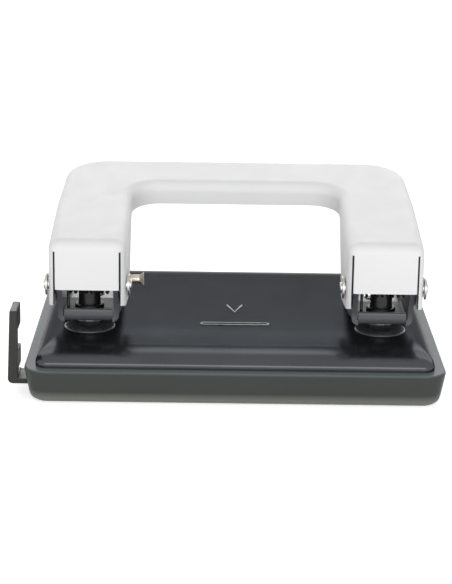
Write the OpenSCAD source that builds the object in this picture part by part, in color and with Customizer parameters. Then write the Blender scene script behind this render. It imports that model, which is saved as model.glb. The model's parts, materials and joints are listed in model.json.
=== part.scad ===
// Two-hole lever punch for paper. Millimetres, +Z up, +Y away from the paper side.
// The origin is the middle of the chip tray's underside.

/* [Base] */
// Depth of the tray's rim, front to back
rim_d = 96; // [92:1:120]
// Height of the tray's rim above the table
rim_h = 9.2; // [8.5:0.1:12]
// Corner radius of the rim, seen from above
rim_r = 6.5; // [5.5:0.5:10]
// Width of the ledge that shows around the base plate
ledge_w = 3; // [2.5:0.1:4]
// How far the tray's walls lean in towards the table
tray_draft = 1.3; // [0.5:0.1:2]
// Wall thickness of the tray
tray_wall = 1.5; // [1.2:0.1:1.8]
// Thickness of the tray's floor
floor_t = 1.4; // [1:0.1:1.8]
// Height of the tray's snap lip above its ledge
lip_h = 0.8; // [0.4:0.1:1]
// Thickness of the base plate
plate_t = 1.2; // [1:0.1:1.5]
// Rise of the domed base plate above the rim
dome_h = 4.3; // [3.8:0.1:6]
// Width of the dome's sloped border, front and back
dome_front = 11; // [8:0.5:13]
// Width of the dome's sloped border at the sides
dome_side = 4.6; // [3.5:0.1:6]

/* [Punch units] */
// Distance between the two hole centres
hole_pitch = 80; // [72:1:88]
// Punch axis, from the middle of the base towards the back
punch_y = -20.2; // [-24:0.2:-16]
// Diameter of a punched hole
punch_d = 6; // [5:0.1:6.4]
// Diameter of the raised die
die_d = 14; // [13:0.1:15]
// Height of the die above the base plate
die_rise = 0.4; // [0.2:0.1:0.8]
// Diameter of the die's body below its flange
die_body_d = 10; // [9:0.1:11]
// Height of the paper slot between die and bracket
slot_h = 2.4; // [2.2:0.1:3.2]
// Depth of the paper slot behind the punch axis
paper_stop = 12; // [10:0.5:13]
// Wall of the guide bush around a punch
bush_wall = 0.95; // [0.8:0.05:1.1]
// Height of the guide bush above the bracket's floor
bush_h = 2.5; // [1.5:0.1:3]

/* [Brackets] */
// Outside width of a bracket
bracket_w = 16.6; // [16.2:0.1:18]
// Sheet thickness of a bracket
bracket_t = 1.4; // [1.2:0.1:1.6]
// From the punch axis forward to the bracket's front
bracket_front = 5.6; // [5.5:0.1:7]
// Outside radius of the bends in the bracket
bracket_bend = 2; // [1.8:0.1:2.4]
// Height of the front tongue above the paper slot
tongue_h = 3.7; // [3:0.1:4.4]
// Width of the slots beside the tongue
tongue_slot = 0.4; // [0.3:0.1:0.6]
// Length of the riveted foot behind the paper stop
foot_l = 20; // [16:1:24]
// Diameter of a rivet's shank
rivet_d = 3; // [2.4:0.1:3.4]
// Diameter of a rivet's head
rivet_head_d = 5; // [4.4:0.1:5.6]
// Height of a rivet's head
rivet_head_h = 1; // [0.8:0.1:1.4]

/* [Hinge] */
// Hinge axle, ahead of the punch axis
axle_ahead = 7; // [6.5:0.1:8]
// Height of the hinge axle above the bracket's floor
axle_rise = 9.7; // [9.4:0.1:11]
// Diameter of the hinge axle
axle_d = 3; // [2.6:0.1:3.2]
// Diameter of a retaining ring
ring_d = 6; // [5.4:0.1:6.4]
// Thickness of a retaining ring
ring_t = 0.7; // [0.5:0.1:0.9]
// How far the handle can be pressed, degrees
press_angle = 20; // [16:1:20]

/* [Return springs] */
// Wire diameter of a return spring
wire_d = 0.8; // [0.6:0.05:0.8]
// Distance from curl to curl along the axle
coil_pitch = 1.4; // [1.3:0.05:1.45]
// Full turns in a coil
coil_turns = 8; // [5:1:8]

/* [Handle] */
// Sheet thickness of the handle
sheet_t = 1.5; // [1.2:0.1:1.6]
// Gap between the brackets and the handle's ears
ear_gap = 0.6; // [0.4:0.1:0.8]
// Front face of the handle, ahead of the hinge axle
skirt_ahead = 4.5; // [4.5:0.1:5.2]
// Lower edge of the front skirts, below the hinge axle
skirt_drop = 0.5; // [0:0.1:1]
// Top of the slits beside the skirts, above the hinge axle
slit_rise = 9.8; // [8:0.1:10]
// Width of the slits
slit_w = 0.3; // [0.2:0.05:0.5]
// Height of the handle's top above the hinge axle
top_rise = 13.6; // [13.2:0.1:16]
// Slope of the handle's top, rising to the back, degrees
top_slope = 7.8; // [6:0.1:9]
// Length of the handle, front to back
handle_l = 65.2; // [60:0.2:72]
// Depth of the rear grip bar
bar_l = 20; // [17:0.5:23]
// Corner radius at the back of the handle
handle_r = 12; // [9:0.5:15]
// How much narrower the back of the handle is, each side
handle_taper = 1.2; // [0.5:0.1:2]
// Radius of the bend between top and sides
bend_r = 3; // [2.6:0.1:3.4]
// Corner radius of the finger opening
opening_r = 8; // [5:0.5:10]
// Depth of the flange along the handle's edges
flange_h = 6.6; // [5:0.1:8]
// Lower front corner of the ears, below the hinge axle
ear_drop = 5.1; // [4.6:0.1:5.4]
// Lower rear corner of the ears, behind the hinge axle
ear_reach = 18.3; // [17:0.1:19]

/* [Punches] */
// Lower end of a resting punch above the die
tip_clear = 1.2; // [0.8:0.1:1.8]
// Depth of the hollow ground into the punch's end
tip_hollow = 0.5; // [0.3:0.1:0.7]
// Diameter of the cross pin that drives a punch
drive_d = 3; // [2.6:0.1:3.1]
// Length of the punch above its cross pin
punch_head = 3; // [2.2:0.1:3.4]

/* [Lock pin] */
// Lock pin, behind the hinge axle
lock_back = 13.2; // [13:0.1:14]
// Lock pin, below the hinge axle
lock_drop = 2.1; // [1.9:0.1:2.2]
// Diameter of the lock pin
lock_d = 2.6; // [2.2:0.1:2.8]
// Diameter of the lock pin's flared head
lock_head_d = 4; // [3.6:0.1:4.6]
// Length of the lock pin outside the handle's ear
lock_out = 4.2; // [3.8:0.1:5]

/* [Paper guide] */
// Distance from the rim's front to the guide
guide_front = 8.5; // [7.5:0.5:9.5]
// Depth of the guide, front to back
guide_l = 9.1; // [8:0.1:10]
// Height of the upright flange
guide_h = 20.2; // [16:0.2:24]
// Thickness of the flange at its foot
guide_foot_t = 2.7; // [2.2:0.1:3.2]
// Thickness of the flange at its top
guide_top_t = 2; // [1.6:0.1:2.2]
// Gap between the flange and the rim
guide_gap = 2; // [1.8:0.1:4]
// Thickness of the sliding strip
strip_t = 1.4; // [1.2:0.1:1.8]
// Length of the sliding strip inside the tray
strip_l = 70; // [60:1:80]

/* [Hidden] */
// Clearances: round fits, flat fits, room around free parts, room inside the coils
fit_r = 0.03;
fit_flat = 0.2;
free_gap = 0.3;
coil_clear = 0.35;
// A cut passes this far through a wall, and a thin layer of a hull is this thick
past = 1;
slice = 0.01;
// Facets on round parts, on the parts of a hull and on the balls of a hull
round_fn = 48;
hull_fn = 32;
ball_fn = 24;

// Base: the rim is as wide as the brackets, the dome's borders and the ledge need
rim_w = hole_pitch + bracket_w + 2 * (dome_side + ledge_w + 0.1);
rim_fillet = 0.8;
tray_fillet = 2.2;
lip_t = 1.2;
plate_top = rim_h + dome_h;
// Border of the dome: share of its width from the edge, share of the drop below its top
DOME = [[0, 1], [0.045, 0.58], [0.145, 0.372], [0.364, 0.174], [0.68, 0.047], [1, 0]];
dome_edge = 0.23 * dome_h;

// Punch units
punch_r = punch_d / 2;
bore_play = 0.05;
die_top = plate_top + die_rise;
die_depth = 3;
die_land = 1.6;
slot_top = die_top + slot_h;
floor_top = slot_top + bracket_t;
bracket_y = punch_y - bracket_front;
stop_y = punch_y + paper_stop;
foot_y = stop_y + foot_l;
tongue_top = slot_top + tongue_h;
tongue_w = bracket_w - 2 * (bracket_t + tongue_slot);
rivet_y = [stop_y + foot_l * 0.28, stop_y + foot_l * 0.78];
rivet_r = rivet_d / 2;
bush_r = punch_r + bore_play + bush_wall;
bush_foot_r = bush_r - 0.3;

// Hinge and handle
axle_y = punch_y - axle_ahead;
axle_z = floor_top + axle_rise;
axle_r = axle_d / 2;
bore_r = axle_r + fit_r;
ear_in = bracket_w / 2 + ear_gap;
ear_out = ear_in + sheet_t;
ring_in = ear_out + free_gap;
axle_end = ring_in + ring_t + 0.5;
groove_r = axle_r - 0.4;
boss_r = skirt_ahead - sheet_t - free_gap;
top_z = axle_z + top_rise;
skirt_y = axle_y - skirt_ahead;
handle_w = hole_pitch + 2 * ear_out;
handle_back = skirt_y + handle_l;
bar_front = handle_back - bar_l;
opening_w = hole_pitch - 2 * ear_out;

// The cross pin swings from half the press angle above the axle to half below it
drive_r = drive_d / 2;
drive_rise = axle_ahead * tan(press_angle / 2);
drive_z = axle_z + drive_rise;
stroke = 2 * drive_rise;
drive_end = ear_out - 0.1;
drive_play = axle_ahead * (1 / cos(press_angle / 2) - 1) + 0.08;
tip_z = die_top + tip_clear;
punch_top = drive_z + punch_head;

// Lock pin: at rest in the handle's ear, and where it meets the bracket when pressed
lock_r = lock_d / 2;
lock_y = axle_y + lock_back;
lock_z = axle_z - lock_drop;
lock_down_y = axle_y + lock_back * cos(press_angle) - lock_drop * sin(press_angle);
lock_down_z = axle_z - lock_back * sin(press_angle) - lock_drop * cos(press_angle);
lock_head_l = 1.2;
lock_tip = bracket_w / 2 + 0.4;
// Upper edge of the brackets: under the lowered cross pin and the resting lock pin
wall_top = min(drive_z - stroke - drive_r, lock_z - lock_r) - 0.35;

// Paper guide
guide_y = guide_front - rim_d / 2;
guide_z = floor_t + 1.6;
guide_x = -rim_w / 2 - guide_gap;
guide_post = 2.3;
guide_web = 0.7;
strip_top = guide_z + strip_t;
rail_t = 1.2;
rail_l = strip_l - 20;
hook_l = 5;
hook_over = 0.8;

// Return spring: the coil, its two legs and what they bear on, around the hinge axle
wire_r = wire_d / 2;
coil_r = axle_r + coil_clear + wire_r;
rings_per_turn = 8;
coil_steps = rings_per_turn * coil_turns;
coil_half = coil_turns * coil_pitch / 2;
leg_a_angle = 15;
leg_b_angle = -35;
sweep_angle = 360 * coil_turns + leg_b_angle - leg_a_angle;
leg_a_len = 5.6;
// Leg A ends above the bracket's floor, leg B below the handle's top
leg_a_foot = floor_top - axle_z + free_gap;
leg_b_reach = 8.4;
leg_b_turn = 2.5;
tube_sides = 6;

// ---- shared shapes -------------------------------------------------------

// Hull of rounded outlines: each layer is [inset in x, inset in y, corner radius, height],
// the last layer is the top, and the first has an upright side of height foot
module layered(layers, foot = slice) {
    high = layers[len(layers) - 1][3];
    hull() for (l = layers, x = [-1, 1], y = [-1, 1])
        translate([x * (rim_w / 2 - l[0] - l[2]), y * (rim_d / 2 - l[1] - l[2]), min(l[3], high - slice)])
            linear_extrude(l == layers[0] ? foot : slice) circle(l[2], $fn = hull_fn);
}

// Straight block with rounded corners, inset from the rim all round
module inset_block(inset, r, z0, h) {
    translate([0, 0, z0]) linear_extrude(h) {
        square([rim_w - 2 * (inset + r), rim_d - 2 * inset], center = true);
        square([rim_w - 2 * inset, rim_d - 2 * (inset + r)], center = true);
        for (x = [-1, 1], y = [-1, 1])
            translate([x * (rim_w / 2 - inset - r), y * (rim_d / 2 - inset - r)]) circle(r, $fn = hull_fn);
    }
}

// Cylinder along X, from x0 to x1
module x_rod(r, x0, x1, fn = round_fn) {
    translate([x0, 0, 0]) rotate([0, 90, 0]) cylinder(h = x1 - x0, r = r, $fn = fn);
}

// Outline turned around the X axis
module x_turned(points) {
    rotate([0, 90, 0]) rotate_extrude($fn = round_fn) polygon(points);
}

module at_axle() {
    translate([0, axle_y, axle_z]) children();
}

module left_side() {
    translate([-hole_pitch / 2, 0, 0]) children();
}

module right_side() {
    translate([hole_pitch / 2, 0, 0]) children();
}

// ---- base ----------------------------------------------------------------

// Skin of the dome, moved in and down by t; an inner skin is open below
module dome(t) {
    corner = rim_r - ledge_w - t;
    below = t > 0 ? past : 0;
    layered([for (p = DOME)
        [ledge_w + t + p[0] * dome_side, ledge_w + t + p[0] * dome_front,
            corner + p[0] * (dome_side - corner / 2),
            plate_top - t - p[1] * dome_h - (p[1] == 1 ? below : 0)]], foot = dome_edge + below);
}

module base_plate() {
    color("#45484b") difference() {
        dome(0);
        dome(plate_t);
        for (s = [-1, 1]) translate([s * hole_pitch / 2, 0, rim_h]) {
            translate([0, punch_y, 0])
                cylinder(h = dome_h + past, r = die_body_d / 2 + fit_r, $fn = round_fn);
            for (y = rivet_y) translate([0, y, 0])
                cylinder(h = dome_h + past, r = rivet_r + fit_r, $fn = round_fn);
        }
    }
}

module chip_tray() {
    lip = ledge_w + plate_t + 1.1;
    mouth = lip + lip_t;
    floor_r = tray_wall + tray_draft;
    skin = [[tray_draft + tray_fillet, 0], [tray_draft + 1.2, 0.35], [tray_draft + 0.35, 1],
        [tray_draft - 0.1, tray_fillet], [0, rim_h - rim_fillet], [0.12, rim_h - 0.3], [0.5, rim_h]];
    hollow = [[floor_r + 1.4, floor_t], [floor_r, floor_t + 1.2], [tray_wall, rim_h - tray_wall]];
    color("#5f6c69") difference() {
        union() {
            difference() {
                layered([for (p = skin) [p[0], p[0], rim_r - p[0], p[1]]]);
                layered([for (p = hollow) [p[0], p[0], max(rim_r - p[0], 1), p[1]]]);
                inset_block(mouth, 2, rim_h - 2 * tray_wall, 3 * tray_wall);
            }
            // Snap lip that stands inside the base plate's edge
            difference() {
                inset_block(lip, 3, rim_h - tray_wall, tray_wall + lip_h);
                inset_block(mouth, 2, rim_h - 2 * tray_wall, 3 * tray_wall);
            }
            guide_rails();
        }
        // Window for the paper guide's strip
        translate([-rim_w / 2 - past, guide_y - fit_flat, guide_z - fit_flat])
            cube([tray_wall + tray_draft + 2 * past + 0.5, guide_l + 2 * fit_flat, strip_t + 2 * fit_flat]);
    }
}

// Runner on the tray's floor: a bed, two side rails and their overhanging hooks
module guide_rails() {
    x0 = tray_wall + tray_draft - rim_w / 2;
    z0 = floor_t - 0.1;
    hook_z = strip_top + fit_flat;
    translate([x0, guide_y, z0]) cube([rail_l, guide_l, guide_z - fit_flat - z0]);
    translate([x0, guide_y + guide_l / 2, 0]) for (m = [0, 1]) mirror([0, m, 0]) {
        translate([0, guide_l / 2 + fit_flat, z0]) cube([rail_l, rail_t, hook_z + rail_t - z0]);
        translate([rail_l - hook_l, guide_l / 2 - hook_over, hook_z])
            cube([hook_l, hook_over + fit_flat + rail_t, rail_t]);
    }
}

module paper_guide() {
    corner = guide_foot_t / 2;
    nose = 0.35;
    top = guide_z + guide_h;
    color("#3b3b39") {
        difference() {
            // Upright flange: its outer face leans, its lower corner is round
            translate([0, guide_y + guide_l, 0]) rotate([90, 0, 0]) linear_extrude(guide_l) hull() {
                translate([guide_x - guide_foot_t + corner, guide_z + corner])
                    circle(corner, $fn = hull_fn);
                translate([guide_x - past, guide_z]) square([past, strip_t]);
                translate([guide_x - guide_top_t + nose, top - nose]) circle(nose, $fn = hull_fn);
                translate([guide_x - nose, top - nose]) circle(nose, $fn = hull_fn);
            }
            // Two hollows behind the front post, open to the back
            for (h = [[0.08, 0.17], [0.42, 0.71]])
                translate([guide_x - guide_top_t + guide_web, guide_y + guide_post, guide_z + h[0] * guide_h])
                    cube([guide_top_t, guide_l, (h[1] - h[0]) * guide_h]);
        }
        // Strip that slides in the tray's runner
        translate([guide_x - past, guide_y, guide_z]) cube([past + guide_gap + strip_l, guide_l, strip_t]);
    }
}

// ---- punch units ---------------------------------------------------------

module die() {
    edge = 0.25;
    bore = punch_r + bore_play;
    relief = punch_r + 0.4;
    body = die_body_d / 2;
    rim = die_d / 2;
    color("#4a4d50") translate([0, punch_y, plate_top]) rotate_extrude($fn = 2 * round_fn) polygon([
        [bore, -die_land], [bore, die_rise], [rim - edge, die_rise], [rim, die_rise - edge / 2],
        [rim, 0], [body, 0], [body, -die_depth], [relief, -die_depth], [relief, -die_land]]);
}

// Side outline of a bracket, from its front round to its foot
module bracket_outline() {
    polygon([[bracket_y, slot_top], [bracket_y, tongue_top],
        [axle_y - boss_r * 0.8, axle_z - boss_r * 0.6], [axle_y, axle_z],
        [axle_y + boss_r * 0.94, axle_z + boss_r * 0.34], [punch_y - drive_r - 0.6, wall_top],
        [lock_y + lock_r, wall_top], [foot_y - 6, plate_top + 4], [foot_y, plate_top + bracket_t],
        [foot_y, plate_top], [stop_y, plate_top], [stop_y, slot_top]]);
    translate([axle_y, axle_z]) circle(boss_r, $fn = round_fn);
}

// Outside of the bent sheet seen from the front, standing on z0; t moves it inwards
module sheet_section(z0, t) {
    r = bracket_bend - t;
    half = bracket_w / 2 - t;
    translate([-half, z0 + bracket_bend]) square([2 * half, axle_z]);
    translate([r - half, z0 + t]) square([2 * (half - r), bracket_bend]);
    for (s = [-1, 1]) translate([s * (half - r), z0 + bracket_bend]) circle(r, $fn = round_fn);
}

// Piece of the bent sheet between y0 and y1: a channel, or filled as a riser
module channel(z0, y0, y1, filled = false) {
    translate([0, y1, 0]) rotate([90, 0, 0]) linear_extrude(y1 - y0) difference() {
        sheet_section(z0, 0);
        if (!filled) sheet_section(z0, bracket_t);
    }
}

// lock_side is 1 or -1 where a wall takes the lock pin, 0 where none does
module bracket(lock_side) {
    half = bracket_w / 2;
    color("#4b4e52") difference() {
        union() {
            intersection() {
                union() {
                    channel(slot_top, axle_y - 2 * boss_r, stop_y + bracket_t);
                    channel(plate_top, stop_y, foot_y);
                    intersection() {
                        channel(plate_top, stop_y, stop_y + bracket_t, true);
                        translate([-half, stop_y, plate_top])
                            cube([bracket_w, bracket_t, slot_top - plate_top + bracket_t]);
                    }
                }
                translate([-half - past, 0, 0]) rotate([90, 0, 90])
                    linear_extrude(bracket_w + 2 * past) bracket_outline();
            }
            tongue();
        }
        // Outside of the bend at the foot of the tongue
        translate([-tongue_w / 2, bracket_y - past, slot_top - past]) difference() {
            cube([tongue_w, past + bracket_bend, past + bracket_bend]);
            translate([0, past + bracket_bend, past + bracket_bend])
                x_rod(bracket_bend, -past, tongue_w + past);
        }
        at_axle() x_rod(bore_r, -half - past, half + past);
        translate([0, punch_y, slot_top - past])
            cylinder(h = bracket_t + 2 * past, r = bush_foot_r + fit_r, $fn = round_fn);
        for (y = rivet_y) translate([0, y, plate_top - past])
            cylinder(h = bracket_t + 2 * past, r = rivet_r + fit_r, $fn = round_fn);
        if (lock_side != 0)
            translate([lock_side * half, lock_down_y, lock_down_z])
                x_rod(lock_r + 0.2, -bracket_t - past, past);
    }
}

// Front tongue, bent up from the floor, its top edge round
module tongue() {
    edge_r = bracket_t / 2;
    translate([-tongue_w / 2, 0, 0]) rotate([90, 0, 90]) linear_extrude(tongue_w) {
        translate([bracket_y, slot_top]) square([bracket_t, tongue_h - edge_r]);
        translate([bracket_y + edge_r, tongue_top - edge_r]) circle(edge_r, $fn = round_fn);
    }
}

module rivets() {
    grip = plate_t + bracket_t;
    crown = rivet_head_d / 2;
    top = grip + rivet_head_h;
    color("#b9b9b6") for (y = rivet_y) translate([0, y, plate_top - plate_t])
        rotate_extrude($fn = round_fn) polygon([
            [0, -rivet_head_h * 0.7], [crown * 0.8, -rivet_head_h * 0.7], [crown * 0.9, 0], [rivet_r, 0],
            [rivet_r, grip], [crown, grip], [crown * 0.93, top - rivet_head_h * 0.55],
            [crown * 0.7, top - rivet_head_h * 0.2], [crown * 0.36, top - rivet_head_h * 0.03], [0, top]]);
}

module guide_bush() {
    bevel = 0.3;
    bore = punch_r + bore_play;
    top = floor_top + bush_h;
    color("#8b8d8f") translate([0, punch_y, 0]) rotate_extrude($fn = 2 * round_fn) polygon([
        [bore, slot_top], [bush_foot_r, slot_top], [bush_foot_r, floor_top], [bush_r, floor_top],
        [bush_r, top - bevel], [bush_r - bevel, top], [bore, top]]);
}

// ---- hinge ---------------------------------------------------------------

module hinge_axle() {
    nose = 0.3;
    ring_out = ring_in + ring_t;
    color("#a9abad") at_axle() x_turned([
        [0, -axle_end], [axle_r - nose, -axle_end], [axle_r, nose - axle_end],
        [axle_r, -ring_out], [groove_r, -ring_out], [groove_r, -ring_in], [axle_r, -ring_in],
        [axle_r, ring_in], [groove_r, ring_in], [groove_r, ring_out], [axle_r, ring_out],
        [axle_r, axle_end - nose], [axle_r - nose, axle_end], [0, axle_end]]);
}

// A pair of open retaining rings, one in each groove of the axle
module axle_rings() {
    slack = 0.05;
    hub = groove_r + slack;
    wide = ring_t - 2 * slack;
    color("#9c9a94") at_axle() for (s = [0, 1]) mirror([s, 0, 0])
        translate([ring_in + slack, 0, 0]) difference() {
            x_rod(ring_d / 2, 0, wide);
            x_rod(hub, -past, wide + past);
            // Mouth, and two relief bites beside the inner lugs
            translate([-past, -hub * 0.85, -ring_d]) cube([wide + 2 * past, hub * 1.7, ring_d]);
            for (a = [35, 145]) rotate([a, 0, 0]) translate([0, hub + 0.35, 0])
                x_rod(0.5, -past, wide + past, ball_fn);
        }
}

// Return spring: points of its centre line, [x, y, z] from the axle
function coil_point(i) =
    let (a = leg_a_angle + sweep_angle * i / coil_steps)
    [coil_pitch * coil_turns * i / coil_steps - coil_half, coil_r * cos(a), coil_r * sin(a)];
leg_a_knee = coil_point(0) + leg_a_len * [0, sin(leg_a_angle), -cos(leg_a_angle)];
// Leg B leaves the coil straight and turns square to the handle's top near its end
leg_b_knee_y = coil_point(coil_steps)[1] + leg_b_reach;
leg_b_knee = [coil_half, leg_b_knee_y, top_rise + tan(top_slope) * leg_b_knee_y
    - (sheet_t + free_gap + leg_b_turn) / cos(top_slope)];
SPRING_PATH = concat(
    [[leg_a_knee[0], leg_a_knee[1], leg_a_foot], leg_a_knee],
    [for (i = [0:coil_steps]) coil_point(i)],
    [leg_b_knee, leg_b_knee + leg_b_turn * [0, -sin(top_slope), cos(top_slope)]]);

function unit(v) = v / norm(v);
// Direction of the path at point i: the mean of the runs that meet there
function heading(p, i) =
    i == 0 ? unit(p[1] - p[0]) :
    i == len(p) - 1 ? unit(p[i] - p[i - 1]) :
    unit(unit(p[i] - p[i - 1]) + unit(p[i + 1] - p[i]));
// One ring of the tube: its first side points along X as nearly as the heading lets it
function ring(p, i, r) =
    let (h = heading(p, i), u = unit([1, 0, 0] - h[0] * h), v = cross(h, u))
    [for (k = [0:tube_sides - 1])
        p[i] + r * (cos(360 * k / tube_sides) * u + sin(360 * k / tube_sides) * v)];

// Least gap of the wire to itself: points at least half a turn apart, less the wire
function path_gap(p) =
    min([for (i = [0:len(p) - 1], j = [i + rings_per_turn / 2:1:len(p) - 1]) norm(p[i] - p[j])]) - wire_d;
echo(return_spring_least_gap = path_gap(SPRING_PATH));

module return_spring() {
    n = len(SPRING_PATH);
    color("#7d7f82") at_axle() polyhedron(
        points = [for (i = [0:n - 1]) each ring(SPRING_PATH, i, wire_r)],
        faces = concat(
            [for (k = [1:tube_sides - 2]) [0, k + 1, k]],
            [for (i = [0:n - 2], k = [0:tube_sides - 1])
                each let (a = i * tube_sides + k, b = i * tube_sides + (k + 1) % tube_sides)
                    [[a, b, b + tube_sides], [a, b + tube_sides, a + tube_sides]]],
            [for (k = [1:tube_sides - 2])
                [(n - 1) * tube_sides, (n - 1) * tube_sides + k, (n - 1) * tube_sides + k + 1]]));
}

// ---- punches -------------------------------------------------------------

module punch() {
    bevel = 0.4;
    grind_r = (punch_r * punch_r + tip_hollow * tip_hollow) / (2 * tip_hollow);
    color("#c9cacb") translate([0, punch_y, 0]) difference() {
        rotate_extrude($fn = 2 * round_fn) polygon([[0, tip_z], [punch_r, tip_z],
            [punch_r, punch_top - bevel], [punch_r - bevel, punch_top], [0, punch_top]]);
        // The end is ground hollow, which leaves two cutting points
        translate([0, 0, tip_z + tip_hollow - grind_r]) rotate([90, 0, 0])
            cylinder(h = 2 * punch_d, r = grind_r, center = true, $fn = 2 * round_fn);
        translate([0, 0, drive_z]) x_rod(drive_r + fit_r, -punch_d, punch_d);
    }
}

module drive_pin() {
    nose = 0.3;
    color("#a9abad") translate([0, punch_y, drive_z]) x_turned([
        [0, -drive_end], [drive_r - nose, -drive_end], [drive_r, nose - drive_end],
        [drive_r, drive_end - nose], [drive_r - nose, drive_end], [0, drive_end]]);
}

// Spool-shaped lock pin in the inner ear of the left arm
module lock_pin() {
    head_r = lock_head_d / 2;
    nose = 0.3;
    head = ear_out + lock_out;
    neck = head - lock_head_l;
    color("#b8ab98") left_side() translate([0, lock_y, lock_z]) x_turned([
        [0, lock_tip], [lock_r - nose, lock_tip], [lock_r, lock_tip + nose], [lock_r, neck],
        [lock_r + 0.1, neck + 0.3], [head_r - 0.15, head - 0.2], [head_r, head], [head_r - 0.4, head],
        [0, head - 0.6]]);
}

// ---- handle --------------------------------------------------------------

function top_at(y) = top_z + (y - axle_y) * tan(top_slope);

// Solid under the handle's top: t is how far it lies inside the outer skin
module handle_block(t) {
    r = bend_r - t;
    corner = handle_r - t;
    x_front = handle_w / 2 - t;
    x_back = x_front - handle_taper;
    y_front = skirt_y + t;
    y_back = handle_back - t;
    y_straight = skirt_y + handle_l / 2;
    sink = bend_r / cos(top_slope);
    low = axle_z - ear_drop - 4 - t;
    hull() {
        for (s = [-1, 1]) {
            for (y = [y_front + r, y_straight])
                translate([s * (x_front - r), y, top_at(y) - sink]) sphere(r, $fn = ball_fn);
            for (a = [0:22.5:90]) let (y = y_back - corner + (corner - r) * sin(a))
                translate([s * (x_back - corner + (corner - r) * cos(a)), y, top_at(y) - sink])
                    sphere(r, $fn = ball_fn);
        }
        translate([0, 0, low]) linear_extrude(axle_z + slit_rise - low) for (s = [-1, 1]) {
            translate([s * (x_front - past / 2) - past / 2, y_front]) square([past, y_straight - y_front]);
            translate([s * (x_back - corner), y_back - corner]) circle(corner, $fn = hull_fn);
        }
    }
}

// Frame of the handle's top: origin above the hinge axle, +Y up the slope
module top_frame() {
    translate([0, axle_y, top_z]) rotate([top_slope, 0, 0]) children();
}

// Finger opening, square to the top and open to the front; its edges are bent with the
// sheet: t is how far the opening reaches into the sheet
module finger_opening(t) {
    w = opening_w / 2;
    r = opening_r;
    y0 = -skirt_ahead - 3 * past;
    y1 = (bar_front - axle_y) / cos(top_slope);
    deep = 2 * top_rise;
    // Between the wall and the top, outside the bend
    module bend() {
        difference() {
            translate([t - past, -bend_r]) square([bend_r - t + past, bend_r - t + past]);
            translate([bend_r, -bend_r]) circle(bend_r - t, $fn = round_fn);
        }
    }
    top_frame() {
        translate([0, 0, -deep]) linear_extrude(deep + 2 * past) {
            translate([-w - t, y0]) square([2 * (w + t), y1 - r - y0]);
            translate([-w + r, y0]) square([2 * (w - r), y1 + t - y0]);
            for (s = [-1, 1]) translate([s * (w - r), y1 - r]) circle(r + t, $fn = 2 * round_fn);
        }
        for (s = [0, 1]) mirror([s, 0, 0]) {
            translate([w, y1 - r, 0]) rotate([90, 0, 0]) linear_extrude(y1 - r - y0) bend();
            translate([w - r, y1 - r, 0])
                rotate_extrude(angle = 90, $fn = 2 * round_fn) translate([r, 0]) bend();
        }
        translate([r - w, y1, 0]) rotate([90, 0, 90]) linear_extrude(2 * (w - r)) bend();
    }
}

// Side outline that is kept: ears in front, flanges behind, a fillet between them
module side_outline() {
    tip = 1.6;
    heel = 4;
    fillet = 6;
    lean = 51;
    ear_low = axle_z - ear_drop;
    heel_y = axle_y + ear_reach - heel;
    heel_z = ear_low - 2.1 + heel;
    front = skirt_y - past;
    flange_z = top_z - flange_h;
    far = handle_l + past;
    high = top_z + handle_l / 2;
    run = high - heel_z;
    offset(r = -fillet, $fn = round_fn) offset(delta = fillet) {
        hull() {
            translate([skirt_y + tip, ear_low + tip]) circle(tip, $fn = hull_fn);
            translate([heel_y, heel_z]) circle(heel, $fn = 2 * hull_fn);
            translate([front, high]) square([tip, slice]);
            translate([skirt_y, ear_low + tip]) square([tip, past]);
            translate([heel_y + heel / sin(lean) + run / tan(lean) - past, high]) square([past, slice]);
        }
        polygon([[axle_y, flange_z], [axle_y + far, flange_z + far * tan(top_slope)],
            [axle_y + far, high], [axle_y, high]]);
    }
}

module handle() {
    color("#eeeeee") difference() {
        intersection() {
            difference() {
                handle_block(0);
                finger_opening(0);
                difference() {
                    handle_block(sheet_t);
                    finger_opening(sheet_t);
                }
            }
            translate([-handle_w, 0, 0]) rotate([90, 0, 90]) linear_extrude(2 * handle_w) side_outline();
        }
        for (s = [-1, 1]) translate([s * hole_pitch / 2, 0, 0]) {
            // Room below the skirt, between the ears
            translate([-ear_in, skirt_y - past, 0]) cube([2 * ear_in, skirt_ahead, axle_z - skirt_drop]);
            // Slits that part the skirt from the ears
            for (e = [0, 1]) mirror([e, 0, 0]) translate([ear_in - slit_w, skirt_y - past, 0])
                cube([slit_w, sheet_t + 1.5 * past, axle_z + slit_rise]);
            at_axle() x_rod(bore_r, -ear_out - past, ear_out + past);
            // Short slots for the cross pin
            at_axle() rotate([press_angle / 2, 0, 0]) for (d = [-drive_play, drive_play])
                translate([0, axle_ahead + d, 0]) x_rod(drive_r + 0.08, -ear_out - past, ear_out + past);
        }
        left_side() translate([0, lock_y, lock_z]) x_rod(lock_r + 0.05, ear_in - past, ear_out + past);
    }
}

// ---- nodes ---------------------------------------------------------------

base_plate();
chip_tray();
paper_guide();
handle();
left_side() bracket(1);  // left_bracket
right_side() bracket(0);  // right_bracket
left_side() rivets();  // left_rivets
right_side() rivets();  // right_rivets
left_side() die();  // left_die
right_side() die();  // right_die
left_side() guide_bush();  // left_guide_bush
right_side() guide_bush();  // right_guide_bush
left_side() hinge_axle();  // left_hinge_axle
right_side() hinge_axle();  // right_hinge_axle
left_side() axle_rings();  // left_axle_rings
right_side() axle_rings();  // right_axle_rings
left_side() return_spring();  // left_return_spring
right_side() return_spring();  // right_return_spring
left_side() punch();  // left_punch
right_side() punch();  // right_punch
left_side() drive_pin();  // left_drive_pin
right_side() drive_pin();  // right_drive_pin
lock_pin();
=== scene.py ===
"""Visual model of a hand-pressed two-hole punch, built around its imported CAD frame."""

import json
import logging
import math
from dataclasses import dataclass
from enum import Enum

import bmesh
import bpy
from mathutils import Matrix, Vector

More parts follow.
